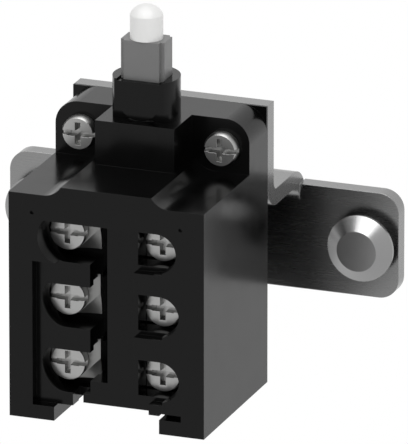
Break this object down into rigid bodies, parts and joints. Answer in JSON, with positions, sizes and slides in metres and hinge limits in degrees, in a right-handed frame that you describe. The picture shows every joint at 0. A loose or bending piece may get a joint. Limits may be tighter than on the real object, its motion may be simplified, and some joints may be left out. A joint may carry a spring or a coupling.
{
  "type": "plunger limit switch",
  "caption": "Open-terminal position switch with a sprung plunger on top, screwed to a bent steel bracket with two conical studs.",
  "frame": {"origin": "centre of the flat back of the bracket's strip, halfway between the two studs", "axes": "+X to the right seen from the terminals, +Y out of the bracket's back, +Z along the plunger, up"},
  "size_m": [0.0608, 0.0424, 0.0592],
  "materials": {
    "black_plastic": "glossy black moulding",
    "grey_plastic": "satin grey moulding",
    "white_plastic": "satin white moulding",
    "bracket_steel": "zinc-plated sheet",
    "stud_steel": "turned and plated",
    "screw_steel": "plated",
    "clamp_steel": "plated",
    "contact_metal": "bright strip",
    "spring_steel": "drawn wire"
  },
  "bodies": {
    "base": {"housing": "black_plastic", "base_cover": "black_plastic", "plunger_collar": "black_plastic", "return_spring": "spring_steel", "mounting_bracket": "bracket_steel", "locating_stud_left": "stud_steel", "locating_stud_right": "stud_steel", "lug_screw_left": "screw_steel", "lug_screw_right": "screw_steel", "terminal_plate_left_lower": "clamp_steel", "terminal_clamp_left_lower": "clamp_steel", "terminal_screw_left_lower": "screw_steel", "terminal_plate_left_middle": "clamp_steel", "terminal_clamp_left_middle": "clamp_steel", "terminal_screw_left_middle": "screw_steel", "terminal_plate_left_upper": "clamp_steel", "terminal_clamp_left_upper": "clamp_steel", "terminal_screw_left_upper": "screw_steel", "terminal_plate_right_lower": "clamp_steel", "terminal_clamp_right_lower": "clamp_steel", "terminal_screw_right_lower": "screw_steel", "terminal_plate_right_middle": "clamp_steel", "terminal_clamp_right_middle": "clamp_steel", "terminal_screw_right_middle": "screw_steel", "terminal_plate_right_upper": "clamp_steel", "terminal_clamp_right_upper": "clamp_steel", "terminal_screw_right_upper": "screw_steel"},
    "slider": {"plunger": "grey_plastic", "plunger_tip": "white_plastic", "contact_carrier": "grey_plastic", "contact_bridge_middle": "contact_metal", "contact_bridge_upper": "contact_metal", "contact_spring_lower": "spring_steel", "contact_spring_middle": "spring_steel", "contact_spring_upper": "spring_steel"},
    "closing_bridge": {"contact_bridge_lower": "contact_metal"}
  },
  "joints": [
    {"name": "plunger_slide", "type": "slide", "parent": "base", "child": "slider", "axis": [0, 0, -1], "range_m": [0, 0.005], "stiffness_N_per_m": 600, "springref_m": -0.004, "deforming": ["return_spring"]},
    {"name": "closing_bridge_slide", "type": "slide", "parent": "slider", "child": "closing_bridge", "axis": [0, 0, 1], "range_m": [0, 0.002], "deforming": ["contact_spring_lower"]}
  ],
  "couplings": [
    {"joint": "closing_bridge_slide", "follows": "plunger_slide", "ratio": 0.4}
  ]
}
